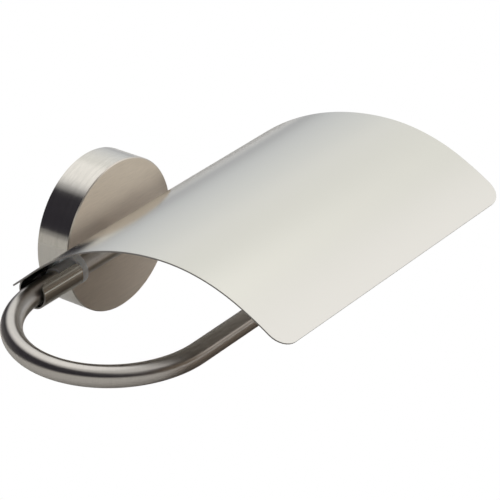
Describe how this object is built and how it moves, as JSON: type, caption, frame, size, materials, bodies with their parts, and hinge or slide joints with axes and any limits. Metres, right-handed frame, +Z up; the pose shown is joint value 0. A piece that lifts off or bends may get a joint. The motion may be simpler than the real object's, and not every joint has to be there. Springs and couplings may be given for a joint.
{
  "type": "toilet paper holder",
  "caption": "Wall-mounted toilet paper holder: round rosette, U-shaped bar with a free end, and a curved sheet cover that hinges on the bar.",
  "frame": {"origin": "centre of the rosette's back, on the wall", "axes": "+Y into the wall, +Z up, +X to the right along the wall, towards the bar's free end"},
  "size_m": [0.1639, 0.14, 0.073],
  "materials": {
    "rosette_nickel": "satin nickel, face brushed straight, rim brushed around",
    "bar_nickel": "satin nickel, finely brushed around the bar",
    "cover_steel": "soft satin, nearly polished sheet",
    "plate_zinc": "dull zinc plating",
    "screw_steel": "plain machined steel",
    "bush_plastic": "cloudy grey translucent plastic"
  },
  "bodies": {
    "holder": {"rosette": "rosette_nickel", "wall_plate": "plate_zinc", "rosette_set_screw": "screw_steel", "post": "bar_nickel", "post_washer": "plate_zinc", "post_screw": "screw_steel", "roll_bar": "bar_nickel", "hinge_bar_end_cap": "bar_nickel", "roll_bar_end_cap": "bar_nickel"},
    "cover": {"cover": "cover_steel", "bush_left": "bush_plastic", "bush_right": "bush_plastic"}
  },
  "joints": [
    {"name": "cover_hinge", "type": "hinge", "parent": "holder", "child": "cover", "pos_m": [0, -0.0244, 0.0053], "axis": [-1, 0, 0], "range_deg": [-26.5, 58]}
  ]
}
